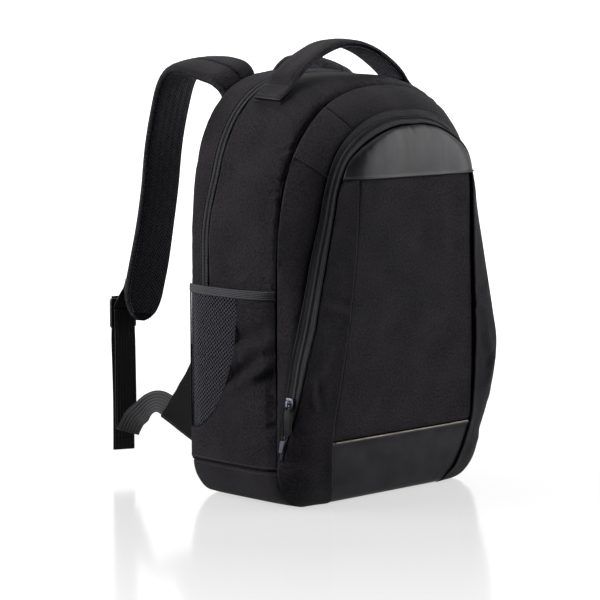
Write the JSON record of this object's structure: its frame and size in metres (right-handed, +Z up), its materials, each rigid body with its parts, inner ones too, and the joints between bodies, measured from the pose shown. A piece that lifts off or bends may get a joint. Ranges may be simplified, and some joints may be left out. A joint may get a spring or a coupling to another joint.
{
  "type": "laptop backpack",
  "caption": "Soft laptop backpack with a zipped front pocket, side pockets, a padded top handle and padded shoulder straps.",
  "frame": {"origin": "middle of the bottom of the whole bag's box, on the surface that it stands on", "axes": "+X right seen from the front, -Y the front with the zipped pocket, +Z up"},
  "size_m": [0.342, 0.3514, 0.489],
  "materials": {
    "fabric": "matte woven polyester",
    "faux_leather": "soft semi-gloss coated cloth",
    "net_cloth": "matte knitted mesh",
    "zip_tape": "woven tape with a nylon coil",
    "webbing": "ribbed polyester webbing",
    "buckle_nylon": "moulded nylon",
    "gunmetal": "gunmetal plating",
    "pull_rubber": "soft moulded"
  },
  "bodies": {
    "bag": {"main_gusset": "fabric", "rear_gusset": "fabric", "main_zip": "zip_tape", "side_panel_right": "fabric", "side_panel_left": "fabric", "base_panel": "fabric", "back_panel": "fabric", "pocket_back_wall": "fabric", "seam_piping": "fabric", "front_side_left": "fabric", "front_side_right": "fabric", "front_corner_left": "fabric", "front_corner_right": "fabric", "front_top": "fabric", "front_zip": "zip_tape", "pocket_center_panel": "fabric", "pocket_base_leather": "faux_leather", "pocket_strip_left": "fabric", "pocket_strip_right": "fabric", "pocket_top_leather": "faux_leather", "side_pocket_fabric_left": "fabric", "side_pocket_fabric_right": "fabric", "side_pocket_mesh_left": "net_cloth", "side_pocket_mesh_right": "net_cloth", "side_pocket_binding_left": "webbing", "side_pocket_binding_right": "webbing", "strap_pad_left": "fabric", "strap_pad_right": "fabric", "strap_mesh_left": "net_cloth", "strap_mesh_right": "net_cloth", "handle": "fabric", "handle_mesh": "net_cloth", "handle_foot_left": "fabric", "handle_foot_right": "fabric", "strap_webbing_left": "webbing", "strap_webbing_right": "webbing", "strap_loop_left": "webbing", "strap_loop_right": "webbing", "strap_tab_left": "webbing", "strap_tab_right": "webbing", "strap_buckle_left": "buckle_nylon", "strap_buckle_right": "buckle_nylon", "front_zip_slider": "gunmetal", "main_zip_slider": "gunmetal", "zip_end_tab": "webbing"},
    "zip_pull": {"front_zip_pull": "pull_rubber"}
  },
  "joints": [
    {"name": "pull_swing", "type": "hinge", "parent": "bag", "child": "zip_pull", "pos_m": [-0.15763, -0.1404, 0.11697], "axis": [0, 1, 0], "range_deg": [0, 150]}
  ]
}
